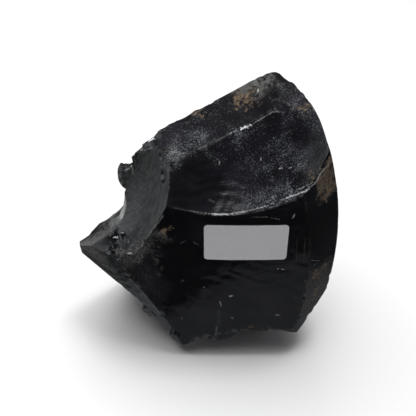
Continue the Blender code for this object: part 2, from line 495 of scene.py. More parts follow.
# the relief fades out this near to a sharp edge, and keeps off the flat sole
RELIEF_FADE_MM = 1.5
SOLE_MM = 0.5
LEAST_FACING = 0.35

hollow = paint(skin, [row[:3] for row in CHATTER])
chop = paint(skin, [(row[0], row[1], row[3]) for row in CHATTER]) * cloud(skin, 5.0, 3)
relief = 0.05 * cloud(skin, 12.0, 1) + 0.02 * cloud(skin, 4.0, 2)
for name, (centre, spacing, height) in RIPPLES.items():
    relief += np.where(owner == CODE[name], ring_relief(skin, centre, spacing, height), 0.0)
normals = scar_normals(skin, owner)
facing = np.clip((normals * rays).sum(1), LEAST_FACING, 1.0)
relief += chop - hollow
relief *= fade(clear, 0.0, RELIEF_FADE_MM) * (skin[:, 2] > SOLE_MM)
skin = skin + rays * (relief / facing)[:, None]
print("relief from", relief.min().round(2), "to", relief.max().round(2), "mm")

# %% [markdown]
# ## The mesh
#
# The arrays go into a Blender mesh in metres. It is shaded smooth, and every edge that turns by more
# than 24 degrees is marked sharp, so that the dishes flow and the edges between them cut. A Bevel
# modifier would round those edges, and broken glass has no round ones.

# %% Build the chunk
SHARP_DEG = 24.0


def mesh_object(name, points_mm, faces, sharp_deg=None):
    """A smooth-shaded mesh object at the origin, from points in millimetres and lists of corners."""
    mesh = bpy.data.meshes.new(name)
    mesh.from_pydata((points_mm * MM).tolist(), [], faces)
    mesh.validate()
    mesh.update()
    mesh.shade_smooth()
    if sharp_deg is not None:
        mesh.set_sharp_from_angle(angle=math.radians(sharp_deg))
    made = bpy.data.objects.new(name, mesh)
    bpy.context.scene.collection.objects.link(made)
    return made


chunk = mesh_object("obsidian_chunk_skin", skin, triangles.tolist(), SHARP_DEG)
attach(chunk, "root")
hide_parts("obsidian_chunk")
print("chunk", [round(v * MM_IN_METRE, 1) for v in chunk.dimensions], "mm")

# %% [markdown]
# ## Where the dust, the stains and the painted light lie
#
# Nothing on a found stone is even. Dust settles in the hollow on top, iron-rich soil leaves brown
# stains, crushed glass follows the edges, and the tips have a dull weathered skin (cortex). Two masks
# are painted light: a grey painted sheen in the left scallop stands for its reflection, and a pale
# colour on the thin fin above the spike stands for the light that comes through it. Each of these is
# a number from 0 to 1 at every point of the mesh. It could be painted with a brush, but rows of soft
# balls and a base value for each scar can be read and changed.

# %% Base values and soft balls
DUST_OF = {
    "upper_bowl": 0.42,
    "upper_shelf": 0.38,
    "top_ear": 0.45,
    "right_dome": 0.45,
    "back_left": 0.40,
    "back_low": 0.35,
    "left_shoulder": 0.30,
    "front_left": 0.22,
    "spike_front": 0.22,
    "spike_notch": 0.25,
    "left_scallop": 0.05,
    "front": 0.03,
}
# only these scars carry the thin fin's painted light
THIN_SCARS = ("spike_notch", "notch_back", "spike_back")
# base amount of the painted sheen, a matte grey-green that stands for the scallop's reflection
PAINTED_SHEEN_OF = {"left_scallop": 0.9, "scallop_rim": 0.75, "knob_left_rim": 0.9}
PAINT = {
    # layer: rows of (middle in mm, radius in mm, amount)
    "dust": (
        ((-6.3, -11.1, 120.0), 15.0, 0.15),
        ((-12.9, -17.2, 117.2), 6.0, 0.25),
        ((4.0, -10.3, 122.2), 5.0, 0.2),
        ((13.8, -14.2, 122.5), 6.0, 0.25),
        ((-6.2, -30.0, 106.3), 14.0, -0.55),
        ((4.0, -26.0, 110.0), 12.0, -0.25),
        ((37.0, -34.0, 111.0), 13.0, 0.25),
        ((15.0, -31.0, 105.5), 8.0, 0.08),
        ((51.8, -27.2, 125.9), 9.0, -0.15),
        ((26.0, -4.0, 134.0), 8.0, -0.2),
        ((16.0, -2.0, 128.5), 9.0, -0.15),
    ),
    "rust": (
        ((16.5, 5.2, 132.4), 5.2, 0.52),
        ((12.0, 2.0, 129.6), 13.0, 0.22),
        ((24.0, 1.0, 134.5), 9.0, 0.25),
        ((-3.0, 1.0, 126.5), 5.0, 0.5),
        ((54.5, -30.0, 109.0), 6.5, 1.5),
        ((49.1, -34.5, 108.6), 2.6, 0.8),
        ((45.9, -8.0, 136.3), 4.0, 0.5),
        ((53.8, -28.2, 124.3), 2.5, 0.7),
        ((55.5, -33.8, 59.9), 4.0, 0.4),
        ((56.7, -32.5, 44.5), 5.0, 0.4),
        ((53.0, -29.5, 115.5), 7.5, 0.75),
        ((55.5, -26.0, 122.5), 5.0, 0.8),
        ((24.3, -39.0, 21.8), 3.5, 0.9),
        ((32.0, -38.8, 21.0), 3.5, 0.8),
        ((42.0, -11.0, 137.0), 6.0, 0.25),
        ((-19.9, -37.1, 87.7), 4.5, 0.55),
        ((-16.4, -37.4, 90.4), 3.0, 0.85),
        ((57.0, -33.0, 60.0), 12.0, 0.35),
        ((55.0, -34.0, 40.0), 14.0, 0.3),
        ((-48.9, -16.1, 71.0), 4.0, 0.5),
    ),
    "crush": (
        ((-14.0, -17.0, 116.8), 6.5, 0.8),
        ((-16.0, -8.0, 121.0), 7.0, 0.5),
        ((-27.4, -35.2, 77.9), 6.0, 0.9),
        ((-20.5, -37.0, 86.0), 6.0, 0.9),
        ((-33.0, -32.5, 70.0), 6.0, 0.95),
        ((-38.5, -31.0, 64.0), 6.0, 0.8),
        ((-28.0, -35.0, 62.0), 12.0, 0.40),
        ((-27.0, -36.0, 48.0), 12.0, 0.22),
        ((56.5, -33.0, 52.0), 12.0, 0.45),
        ((53.5, -34.5, 34.0), 10.0, 0.40),
        ((39.0, 0.0, 139.5), 9.0, 0.6),
        ((48.0, -28.0, 122.0), 7.0, 0.3),
        ((14.0, -30.0, 106.0), 5.0, 0.15),
    ),
    "cortex": (
        ((26.5, 9.0, 138.8), 7.0, 0.6),
        ((-38.5, -3.0, 98.0), 5.0, 0.25),
        ((20.0, 10.5, 135.5), 6.0, 0.7),
        ((54.5, -28.0, 112.0), 9.0, 0.5),
        ((-59.5, -18.5, 61.0), 9.0, 0.9),
        ((-51.5, -8.5, 64.5), 6.5, 0.5),
        ((-45.5, -9.0, 67.5), 4.0, 0.4),
        ((-52.0, -24.0, 53.0), 8.0, 0.6),
        ((-44.0, -25.0, 40.0), 8.0, 0.35),
    ),
    # the painted sheen is taken off the scallop's lower lip, which stays dark glass
    "veil": (
        ((-40.5, -26.0, 68.0), 9.0, -1.5),
        ((-34.5, -30.5, 71.0), 7.0, -1.2),
    ),
    # painted light: where the thin fin is pale, standing for light that comes through it
    "thin": (
        ((-39.0, -8.0, 80.0), 6.5, 1.3),
        ((-41.8, -8.5, 75.5), 5.0, 1.0),
        ((-45.8, -8.5, 69.5), 3.2, 0.35),
    ),
}
print({name: len(rows) for name, rows in PAINT.items()}, "soft balls")

# %% [markdown]
# ### Painting the masks
#
# A ball has a round outline, and no stain has. A mask texture could break it, but it is enough to paint
# a wavering copy of the skin: each point takes the value of a place up to a few millimetres off. The
# result is kept as an attribute, and the shaders break it up further with noise.

# %% Paint masks as attributes
BASE_OF = {"dust": DUST_OF, "veil": PAINTED_SHEEN_OF}
# how far the soft balls' outlines waver
WAVER_MM = 2.0


def keep_attribute(made, name, values):
    """One number for each point of the mesh, under a name that shaders can read."""
    layer = made.data.attributes.new(name, "FLOAT", "POINT")
    layer.data.foreach_set("value", np.ascontiguousarray(values, np.float32))


wavy = skin + np.stack([cloud(skin, 9.0, seed) for seed in (21, 22, 23)], 1) * WAVER_MM
for layer_name, rows in PAINT.items():
    amount = paint(wavy, rows)
    if layer_name == "thin":
        amount *= np.isin(owner, [CODE[scar_name] for scar_name in THIN_SCARS])
    for scar_name, value in BASE_OF.get(layer_name, {}).items():
        amount += np.where(owner == CODE[scar_name], value, 0.0)
    keep_attribute(chunk, layer_name, np.clip(amount, 0.0, 1.0))
print("painted", ", ".join(PAINT))

# %% [markdown]
# ## The pale rim
#
# Sharp edges are bruised, so they look pale. How far the next surface lies behind each point is known
# already, and it is small beside an edge, so the rim needs no painting. Three low ridges are unbruised
# and are taken out with soft balls.

# %% Rim mask
QUIET_RIDGES = (
    # middle in mm, radius in mm, amount
    ((-11.5, -38.0, 42.0), 18.0, 1.4),
    ((49.0, -37.0, 80.0), 16.0, 0.9),
    ((-11.0, -37.4, 102.0), 9.0, 0.8),
)
rim = np.clip(1.0 - fade(clear, 0.1, 1.3) - paint(skin, QUIET_RIDGES), 0.0, 1.0)
keep_attribute(chunk, "rim", rim)
print("rim covers", f"{(rim > 0.5).mean():.0%}", "of the points")

# %% [markdown]
# ## Short ways to wire nodes
#
# A shader is a small machine of boxes and wires. It could be drawn in the Shader Editor, but then it
# wouldn't be in this file. These helpers keep a box to a line: they add a node, set it up, and plug
# numbers or other nodes' sockets into it.

# %% Node helpers


class Wires:
    """Adds nodes to one tree. Each value may be a number, a vector or another node's socket."""

    def __init__(self, tree):
        self.tree = tree

    def node(self, kind, values=(), **settings):
        made = self.tree.nodes.new(kind)
        for key, value in settings.items():
            setattr(made, key, value)
        pairs = values.items() if isinstance(values, dict) else enumerate(values)
        for key, value in pairs:
            self.feed(made.inputs[key], value)
        return made

    def feed(self, socket, value):
        if isinstance(value, bpy.types.NodeSocket):
            self.tree.links.new(value, socket)
        else:
            socket.default_value = value

    def math(self, operation, *values):
        return self.node("ShaderNodeMath", values, operation=operation).outputs[0]

    def vector(self, operation, *values):
        made = self.node("ShaderNodeVectorMath", values, operation=operation)
        return made.outputs["Value" if operation in ("LENGTH", "DOT_PRODUCT") else "Vector"]

    def scaled(self, vector, factor):
        values = {0: vector, "Scale": factor}
        return self.node("ShaderNodeVectorMath", values, operation="SCALE").outputs[0]

    def step(self, value, low, high, start=0.0, end=1.0):
        """Smooth step from start to end as value goes from low to high."""
        values = (value, low, high, start, end)
        return self.node("ShaderNodeMapRange", values, interpolation_type="SMOOTHSTEP").outputs[0]

    def noise(self, vector, scale, detail=2.0, roughness=0.5):
        values = {"Vector": vector, "Scale": scale, "Detail": detail, "Roughness": roughness}
        return self.node("ShaderNodeTexNoise", values).outputs[0]

    def blend(self, factor, first, second, kind="MIX"):
        values = {0: factor, 6: first, 7: second}
        return self.node("ShaderNodeMix", values, data_type="RGBA", blend_type=kind).outputs[2]

    def place_mm(self):
        """The point's place on the object in millimetres."""
        return self.scaled(self.node("ShaderNodeTexCoord").outputs["Object"], MM_IN_METRE)

    def attribute(self, name):
        return self.node("ShaderNodeAttribute", attribute_name=name).outputs["Fac"]


print("node helpers:", [name for name in vars(Wires) if not name.startswith("_")])

# %% [markdown]
# ### Groups and materials
#
# A node group is a box made of boxes. In Blender 4.5 its sockets belong to its interface, and the
# boxes inside reach them through an input node and an output node. Both could be set up afresh each
# time, but these three helpers take up what would repeat.

# %% Group and material helpers
SOCKETS = {
    "float": "NodeSocketFloat",
    "colour": "NodeSocketColor",
    "vector": "NodeSocketVector",
}


def new_group(name, inputs, outputs):
    """An empty node group with named sockets: its wires, its input sockets and its output node."""
    tree = bpy.data.node_groups.new(name, "ShaderNodeTree")
    for way, sockets in (("INPUT", inputs), ("OUTPUT", outputs)):
        for socket_name, kind in sockets.items():
            tree.interface.new_socket(name=socket_name, in_out=way, socket_type=SOCKETS[kind])
    wires = Wires(tree)
    entry = wires.node("NodeGroupInput")
    return wires, entry.outputs, wires.node("NodeGroupOutput")


def use_group(wires, group, values):
    """Places a group in a tree, feeds its inputs and gives its outputs."""
    return wires.node("ShaderNodeGroup", values, node_tree=group).outputs


def new_material(name):
    """A material with its wires and its Principled BSDF."""
    made = bpy.data.materials.new(name)
    made.use_nodes = True
    return made, Wires(made.node_tree), made.node_tree.nodes["Principled BSDF"]


print("socket kinds:", ", ".join(SOCKETS))

# %% [markdown]
# ## Effects that are used again
#
# Speckles, streaks along the rings of a scar, the rings as a height, one layer laid over another, and
# one thin mark: each of these five is a node group with named sockets. Copied boxes would work too,
# but a group is written once and placed with other values wherever it is needed. Those that take a
# place take it in millimetres.

# %% Speckles, and one layer over another
BARE_LEVEL = 0.74
COVER_DROP = 0.42


def speckle_group():
    """Smooth step of noise about a level that falls as Cover rises; Edge is half the step's width."""
    wires, given, result = new_group(
        "speckle",
        {"Vector": "vector", "Size": "float", "Cover": "float", "Edge": "float"},
        {"Mask": "float"},
    )
    scale = wires.math("DIVIDE", 1.0, given["Size"])
    noise = wires.noise(given["Vector"], scale, 3.0, 0.62)
    level = wires.math("MULTIPLY_ADD", given["Cover"], -COVER_DROP, BARE_LEVEL)
    low = wires.math("SUBTRACT", level, given["Edge"])
    high = wires.math("ADD", level, given["Edge"])
    wires.feed(result.inputs["Mask"], wires.step(noise, low, high))
    return wires.tree


def layer_group():
    """Lays one finish over another where Mask is 1."""
    wires, given, result = new_group(
        "layer",
        {
            "Mask": "float",
            "Under Colour": "colour",
            "Under Roughness": "float",
            "Over Colour": "colour",
            "Over Roughness": "float",
        },
        {"Colour": "colour", "Roughness": "float"},
    )
    colour = wires.blend(given["Mask"], given["Under Colour"], given["Over Colour"])
    change = wires.math("SUBTRACT", given["Over Roughness"], given["Under Roughness"])
    rough = wires.math("MULTIPLY_ADD", change, given["Mask"], given["Under Roughness"])
    wires.feed(result.inputs["Colour"], colour)
    wires.feed(result.inputs["Roughness"], rough)
    return wires.tree


SPECKLE = speckle_group()
LAYER = layer_group()
print("node groups:", SPECKLE.name, "and", LAYER.name)

# %% [markdown]
# ### Round the blow
#
# Everything that a crack leaves on glass runs in rings round the place of the blow. A Wave texture
# makes rings too, but they are even. Distance from one centre, with noise in it, gives uneven ones:
# as streaks of colour, and as the height of a ripple.

# %% Streaks and rings round a blow
STREAK_RADIUS_MM = 100.0


def streak_group():
    """Noise of the direction from Centre and of the distance over Across: fine across the rings, and
    about Along millimetres long along them, at STREAK_RADIUS_MM from Centre."""
    wires, given, result = new_group(
        "ring_streaks",
        {"Vector": "vector", "Centre": "vector", "Across": "float", "Along": "float"},
        {"Value": "float"},
    )
    offset = wires.vector("SUBTRACT", given["Vector"], given["Centre"])
    distance = wires.vector("LENGTH", offset)
    turns = wires.math("DIVIDE", STREAK_RADIUS_MM, given["Along"])
    around = wires.scaled(wires.vector("NORMALIZE", offset), turns)
    noise = wires.node(
        "ShaderNodeTexNoise",
        {
            "Vector": around,
            "W": wires.math("DIVIDE", distance, given["Across"]),
            "Scale": 1.0,
            "Detail": 3.0,
            "Roughness": 0.6,
        },
        noise_dimensions="4D",
    )
    wires.feed(result.inputs["Value"], noise.outputs[0])
    return wires.tree


def ring_group():
    """Height of fine rings about Centre: the sine of distance over spacing, bent by slow noise."""
    wires, given, result = new_group(
        "ring_height",
        {"Vector": "vector", "Centre": "vector", "Spacing": "float", "Waver": "float"},
        {"Height": "float"},
    )
    distance = wires.vector("LENGTH", wires.vector("SUBTRACT", given["Vector"], given["Centre"]))
    turns = wires.math("DIVIDE", distance, given["Spacing"])
    bent = wires.math("MULTIPLY_ADD", wires.noise(given["Vector"], 0.08), given["Waver"], turns)
    wave = wires.math("SINE", wires.math("MULTIPLY", bent, 2.0 * math.pi))
    wires.feed(result.inputs["Height"], wave)
    return wires.tree


STREAKS = streak_group()
RINGS = ring_group()
print("node groups:", STREAKS.name, "and", RINGS.name)

# %% [markdown]
# ### One thin mark
#
# A scratch, or a painted highlight along a ridge, is a line between two points. An image could hold
# it, but the distance to a line needs no image and stays sharp however close the eye comes.

# %% One thin mark
MARK_FADE = (1.25, 0.45)


def streak_mark_group():
    """Distance to the line from Start to End, over Wide times Ragged: 0 where that is more than the
    first share of MARK_FADE, and 1 where it is less than the second."""
    wires, given, result = new_group(
        "streak_mark",
        {"Vector": "vector", "Start": "vector", "End": "vector", "Wide": "float", "Ragged": "float"},
        {"Mask": "float"},
    )
    line = wires.vector("SUBTRACT", given["End"], given["Start"])
    offset = wires.vector("SUBTRACT", given["Vector"], given["Start"])
    length = wires.vector("DOT_PRODUCT", line, line)
    share = wires.math("DIVIDE", wires.vector("DOT_PRODUCT", offset, line), length)
    share = wires.node("ShaderNodeClamp", (share, 0.0, 1.0)).outputs[0]
    apart = wires.vector("LENGTH", wires.vector("SUBTRACT", offset, wires.scaled(line, share)))
    wide = wires.math("MULTIPLY", given["Wide"], given["Ragged"])
    wires.feed(result.inputs["Mask"], wires.step(wires.math("DIVIDE", apart, wide), *MARK_FADE))
    return wires.tree


STREAK_MARK = streak_mark_group()
print("node group:", STREAK_MARK.name)

# %% [markdown]
# ## Black glass under dust
#
# Thick obsidian swallows nearly all light that goes in, so its own colour is almost black and what is
# seen is gloss. It could be made as real glass with Transmission, but that is slow and noisy, and
# nothing would shine through. So it is an opaque gloss, and over it lie layers, each with its mask:
# first the dust, as a faint haze with pale specks in it.

# %% Clean glass and dust
GLASS_BLACK = (0.0035, 0.0035, 0.0045, 1.0)
GLASS_INK = (0.007, 0.007, 0.0095, 1.0)
GLASS_ROUGH = (0.10, 0.22)
GLASS_IOR = 1.5
DUST_COLOUR = (0.066, 0.070, 0.080, 1.0)
DUST_PALE = (0.20, 0.205, 0.225, 1.0)
DUST_ROUGH = 0.75
HAZE_STRENGTH = 0.24
SPECK_STRENGTH = 0.55
SPECK_LEVEL = 0.596
BLOW_ABOVE_MM = (6.3, 19.0, 152.0)


def coat(wires, under, mask, colour, roughness):
    """Lays one more finish over the layers so far, where mask is 1."""
    values = {
        "Mask": mask,
        "Under Colour": under["Colour"],
        "Under Roughness": under["Roughness"],
        "Over Colour": colour,
        "Over Roughness": roughness,
    }
    return use_group(wires, LAYER, values)


glass, wires, shader = new_material("obsidian_glass")
shader.inputs["IOR"].default_value = GLASS_IOR
place = wires.place_mm()
dust, rust, crush, cortex, veil, thin, rim_near = [
    wires.attribute(name) for name in ("dust", "rust", "crush", "cortex", "veil", "thin", "rim")
]

ink = wires.blend(wires.step(wires.noise(place, 0.05, 3.0), 0.45, 0.65), GLASS_BLACK, GLASS_INK)
smear = wires.step(wires.noise(place, 0.12, 4.0, 0.65), 0.35, 0.75, *GLASS_ROUGH)
bare = {"Colour": ink, "Roughness": smear}

bowl_streaks = use_group(
    wires, STREAKS, {"Vector": place, "Centre": BLOW_ABOVE_MM, "Across": 0.6, "Along": 13.0}
)["Value"]
slow = wires.step(wires.noise(place, 0.09, 5.0, 0.7), 0.38, 0.62, 0.20, 1.1)
patchy = wires.math("MULTIPLY", dust, slow)
haze = wires.math("MULTIPLY", patchy, wires.step(bowl_streaks, 0.36, 0.66, 0.45, 1.0))
grit = wires.noise(place, 1.6, 4.0, 0.8)
grit_low = wires.math("MULTIPLY_ADD", patchy, -0.22, SPECK_LEVEL)
specks = wires.step(grit, grit_low, wires.math("ADD", grit_low, 0.13))
dust_tint = wires.blend(specks, DUST_COLOUR, DUST_PALE)
specks = wires.math("MULTIPLY", specks, wires.step(dust, 0.02, 0.5, 0.0, SPECK_STRENGTH))
dust_mask = wires.math("MAXIMUM", wires.math("MULTIPLY", haze, HAZE_STRENGTH), specks)
dusty = coat(wires, bare, dust_mask, dust_tint, DUST_ROUGH)
print(len(glass.node_tree.nodes), "nodes for clean glass and dust")

# %% [markdown]
# ## Weathered skin and painted sheen
#
# The tips still carry patches of the stone's old outer skin, dull and grey. The left scallop gets a
# painted sheen: an even greenish-grey matte colour that stands for its reflection, combed into fine
# streaks round the place where the blow landed. One noise could blur both, but the first is blotchy
# and the second has a direction, so the first is a plain noise and the second the streaks group.

# %% Weathered skin and painted sheen
CORTEX_COLOUR = (0.10, 0.099, 0.092, 1.0)
CORTEX_ROUGH = 0.6
PAINTED_SHEEN_DARK = (0.003, 0.004, 0.004, 1.0)
PAINTED_SHEEN_LIGHT = (0.032, 0.0355, 0.034, 1.0)
PAINTED_SHEEN_ROUGH = 0.5
PAINTED_SHEEN_STRENGTH = 0.85
BLOW_LEFT_MM = (-64.0, 0.0, 114.0)

cortex_patches = wires.step(wires.noise(place, 0.5, 5.0, 0.7), 0.36, 0.56)
cortex_mask = wires.math("MULTIPLY", cortex, cortex_patches)
weathered = coat(wires, dusty, cortex_mask, CORTEX_COLOUR, CORTEX_ROUGH)

# painted sheen: streaks of matte grey-green standing for the left scallop's reflection
veil_streaks = use_group(
    wires, STREAKS, {"Vector": place, "Centre": BLOW_LEFT_MM, "Across": 0.6, "Along": 9.0}
)["Value"]
veil_tint = wires.blend(wires.step(veil_streaks, 0.40, 0.62), PAINTED_SHEEN_DARK, PAINTED_SHEEN_LIGHT)
veil_mask = wires.math("MULTIPLY", veil, PAINTED_SHEEN_STRENGTH)
veiled = coat(wires, weathered, veil_mask, veil_tint, PAINTED_SHEEN_ROUGH)
print(len(glass.node_tree.nodes), "nodes with the weathered skin and the veil")

# %% [markdown]
# ## Rust, crushed glass and the thin fin's painted light
#
# Iron in the soil stains the stone brown in speckled patches. Where glass was crushed it is full of
# cracks that scatter light, so it looks pale, and so does a bruised rim. The thin fin lets light
# through. Real translucency would need the lamps behind it, so that light is painted: a pale colour
# stands for it.

# %% Rust, crushed glass and the thin fin's painted light
RUST_DARK = (0.034, 0.026, 0.019, 1.0)
RUST_LIGHT = (0.165, 0.112, 0.070, 1.0)
RUST_ROUGH = 0.8
CRUSH_COLOUR = (0.20, 0.20, 0.19, 1.0)
CRUSH_ROUGH = 0.45
CRUSH_STRENGTH = 0.7
RIM_STRENGTH = 0.16
# painted light coming through the thin fin
FIN_PAINTED_LIGHT_COLOUR = (0.36, 0.36, 0.355, 1.0)
THIN_ROUGH = 0.5
FIN_PAINTED_LIGHT_STRENGTH = 0.9

rust_specks = use_group(
    wires, SPECKLE, {"Vector": place, "Size": 1.7, "Cover": rust, "Edge": 0.10}
)["Mask"]
rust_shade = wires.step(wires.noise(place, 0.9, 3.0, 0.7), 0.4, 0.62)
rust_tint = wires.blend(rust_shade, RUST_DARK, RUST_LIGHT)
rust_mask = wires.math("MULTIPLY", rust_specks, wires.step(rust, 0.02, 0.35))
rusty = coat(wires, veiled, rust_mask, rust_tint, RUST_ROUGH)

crush_cover = wires.math("MULTIPLY", crush, 0.5)
crush_specks = use_group(
    wires, SPECKLE, {"Vector": place, "Size": 0.36, "Cover": crush_cover, "Edge": 0.05}
)["Mask"]
crush_mask = wires.step(crush, 0.02, 0.6, 0.0, CRUSH_STRENGTH)
crush_mask = wires.math("MULTIPLY", crush_specks, crush_mask)
rim_patches = wires.step(wires.noise(place, 0.5, 3.0), 0.45, 0.65)
rim_mask = wires.math("MULTIPLY", wires.step(rim_near, 0.4, 1.0), rim_patches)
pale_mask = wires.math("MAXIMUM", crush_mask, wires.math("MULTIPLY", rim_mask, RIM_STRENGTH))
crushed = coat(wires, rusty, pale_mask, CRUSH_COLOUR, CRUSH_ROUGH)

# painted light: the pale colour laid on the thin fin
fin_painted_light_mask = wires.math("MULTIPLY", thin, FIN_PAINTED_LIGHT_STRENGTH)
with_fin_painted_light = coat(wires, crushed, fin_painted_light_mask, FIN_PAINTED_LIGHT_COLOUR, THIN_ROUGH)
print(len(glass.node_tree.nodes), "nodes with rust, crushed glass and the thin fin")

# %% [markdown]
# ## Nicks and painted glints
#
# Single scratches and nicks have their own place, and so do painted highlights: the bright lines
# along ridges and the glints on small facets. Scattering them at random would be shorter, but then
# none would follow a ridge. So each has a row with its two ends, its half width and its strength.

# %% Rows of marks
NICKS_AND_PAINTED_GLINTS = (
    # start and end in mm, half width in mm, strength
    # nicks, scratches and faint lines on the front face
    ((12.4, -39.0, 47.2), (13.6, -39.0, 47.6), 0.55, 0.6),
    ((7.6, -38.8, 43.6), (8.4, -38.9, 39.4), 0.3, 0.38),
    ((35.3, -38.7, 33.8), (37.4, -38.5, 33.4), 0.5, 0.38),
    ((13.8, -39.0, 31.5), (14.4, -39.0, 30.9), 0.4, 0.4),
    ((34.4, -38.7, 66.0), (35.0, -38.7, 65.7), 0.35, 0.6),
    ((36.6, -38.6, 65.5), (37.2, -38.6, 65.2), 0.35, 0.5),
    ((21.5, -39.0, 98.4), (28.0, -38.9, 98.2), 0.3, 0.2),
    ((29.4, -38.9, 97.6), (33.2, -38.7, 96.8), 0.3, 0.28),
    ((39.9, -38.5, 99.2), (39.4, -38.5, 97.2), 0.4, 0.45),
    ((-11.6, -37.9, 30.2), (-11.2, -37.9, 29.9), 0.5, 0.2),
    ((-0.4, -38.6, 53.4), (0.1, -38.6, 53.2), 0.4, 0.25),
    ((-11.2, -37.9, 56.2), (-9.9, -37.9, 57.5), 0.35, 0.16),
    ((-4.8, -38.3, 82.6), (-2.6, -38.4, 80.9), 0.3, 0.17),
    ((-10.8, -37.9, 81.4), (-8.6, -38.1, 83.0), 0.3, 0.15),
    ((5.6, -38.8, 16.5), (6.3, -38.8, 24.4), 0.7, 0.16),
    ((7.0, -38.8, 26.0), (7.4, -38.8, 37.0), 1.2, 0.04),
    ((50.3, -37.3, 70.0), (54.4, -34.5, 67.2), 0.3, 0.2),
    ((42.3, -38.3, 83.4), (43.1, -38.3, 70.3), 0.4, 0.04),
    ((45.7, -38.1, 84.5), (47.0, -38.0, 69.4), 0.4, 0.05),
    ((48.1, -37.9, 83.1), (49.1, -37.9, 71.8), 0.4, 0.04),
    # painted highlight: the bright line along the fold between shelf and bowl, and its fainter ends
    ((16.6, -10.6, 125.4), (20.9, -9.9, 127.1), 0.6, 2.6),
    ((11.8, -11.6, 124.0), (16.8, -10.5, 125.4), 0.35, 0.4),
    ((20.7, -9.9, 127.1), (29.5, -8.8, 131.6), 0.35, 0.4),
    ((29.5, -8.8, 131.6), (33.2, -9.2, 134.2), 0.5, 0.2),
    ((-1.0, -16.0, 119.5), (11.0, -12.0, 123.6), 0.8, 0.09),
    # painted highlight on the top ear
    ((24.5, 5.9, 136.0), (24.0, 4.6, 135.3), 0.45, 0.9),
    # painted highlights along the front ridge, and a second line beside its right end
    ((-12.9, -37.4, 102.3), (-5.9, -37.6, 100.6), 0.35, 0.08),
    ((-5.9, -37.6, 100.6), (3.8, -37.7, 99.0), 0.4, 0.2),
    ((3.8, -37.8, 99.0), (10.0, -38.4, 99.2), 0.55, 0.6),
    ((10.0, -38.4, 99.3), (17.8, -38.2, 100.7), 0.45, 0.42),
    ((17.8, -38.2, 100.7), (25.6, -37.9, 103.1), 0.4, 0.3),
    ((25.6, -37.9, 103.1), (36.3, -37.2, 107.8), 0.35, 0.4),
    ((36.3, -37.2, 107.8), (44.2, -37.0, 111.6), 0.5, 0.55),
    ((44.2, -37.0, 111.6), (49.0, -33.8, 114.6), 0.6, 0.5),
    ((29.1, -34.9, 106.0), (41.8, -35.4, 111.5), 0.35, 0.4),
    ((41.8, -35.4, 111.5), (46.3, -35.0, 114.5), 0.35, 0.4),
    ((48.6, -33.9, 114.2), (50.0, -32.4, 117.2), 0.6, 0.5),
    ((50.0, -32.4, 117.2), (56.5, -27.6, 122.6), 0.5, 0.55),
    ((49.4, -34.9, 104.9), (50.1, -33.9, 108.1), 0.6, 0.10),
    ((50.1, -33.9, 108.1), (53.7, -30.9, 109.0), 0.45, 0.10),
    ((53.7, -30.9, 109.0), (58.8, -26.0, 108.6), 0.45, 0.08),
    ((7.5, -30.4, 105.0), (18.0, -30.8, 105.6), 0.7, 0.05),
    ((2.4, -33.0, 103.2), (4.2, -33.6, 102.4), 0.6, 0.08),
    ((33.3, -26.1, 115.3), (34.0, -26.0, 115.4), 0.4, 0.4),
    ((37.2, -27.1, 116.2), (37.9, -27.0, 116.3), 0.4, 0.4),
    ((25.0, -20.8, 116.8), (25.1, -21.3, 116.5), 0.4, 0.4),
    ((6.9, -20.0, 114.3), (7.0, -20.7, 113.9), 0.4, 0.35),
    ((-14.6, -16.6, 117.4), (-8.4, -17.6, 117.1), 0.8, 0.2),
    # painted glints on the small facets of the left shoulder and beside the knob
    ((-31.5, -5.0, 112.5), (-27.5, -7.8, 112.6), 0.4, 0.35),
    ((-27.5, -7.8, 112.8), (-23.5, -10.7, 114.9), 0.5, 0.35),
    ((-25.6, -6.8, 117.2), (-23.4, -8.0, 119.9), 0.5, 1.1),
    ((-29.5, -4.5, 114.0), (-28.4, -5.2, 116.2), 0.45, 0.8),
    ((-39.0, -1.5, 101.9), (-39.2, -3.6, 99.0), 0.4, 0.55),
    ((-34.3, -6.4, 101.9), (-34.0, -7.9, 98.6), 0.4, 0.25),
    # painted glints at the left scallop's lower lip
    ((-45.2, -21.6, 69.9), (-43.8, -22.2, 70.4), 0.5, 1.3),
    ((-40.6, -21.8, 73.2), (-39.4, -22.3, 73.8), 0.35, 1.0),
    ((-37.0, -31.2, 68.7), (-34.8, -32.5, 70.3), 0.6, 1.3),
    ((-41.3, -29.5, 63.1), (-39.8, -30.5, 64.4), 0.45, 0.7),
    ((-46.9, -22.6, 67.7), (-43.2, -29.1, 65.4), 0.3, 0.22),
    ((-43.2, -29.1, 65.4), (-41.7, -29.4, 60.2), 0.3, 0.2),
    ((-34.0, -33.0, 69.1), (-28.1, -34.4, 78.2), 0.4, 0.3),
    ((-28.1, -34.4, 78.2), (-22.9, -35.8, 87.5), 0.4, 0.3),
    ((-22.9, -35.8, 87.5), (-17.9, -37.3, 97.7), 0.45, 0.25),
    ((-37.8, -30.3, 52.9), (-26.1, -34.5, 36.4), 0.9, 0.10),
    ((-26.1, -34.5, 36.4), (-20.9, -35.9, 27.4), 0.8, 0.14),
    ((22.6, -38.3, 21.3), (27.5, -38.5, 21.0), 0.5, 0.3),
    ((34.0, -38.7, 21.6), (42.1, -38.3, 20.6), 0.5, 0.3),
)
print(len(NICKS_AND_PAINTED_GLINTS), "marks")

# %% [markdown]
# ### Laying the marks on the skin
#
# The rows' points are only about on the glass, and a mark that hangs a millimetre off it doesn't show.
# A Shrinkwrap modifier could pull them in, but here the nearest ray from the heart already knows how
# far the skin is. The marks are then joined with Maximum, so that crossing ones don't add up.

# %% Nicks and painted glints
NICK_AND_GLINT_DULL = (0.3, 0.3, 0.29, 1.0)
# the strongest marks turn this bright: these are painted glints and highlights
PAINTED_GLINT_BRIGHT = (0.85, 0.87, 0.9, 1.0)
NICK_AND_GLINT_ROUGH = 0.5


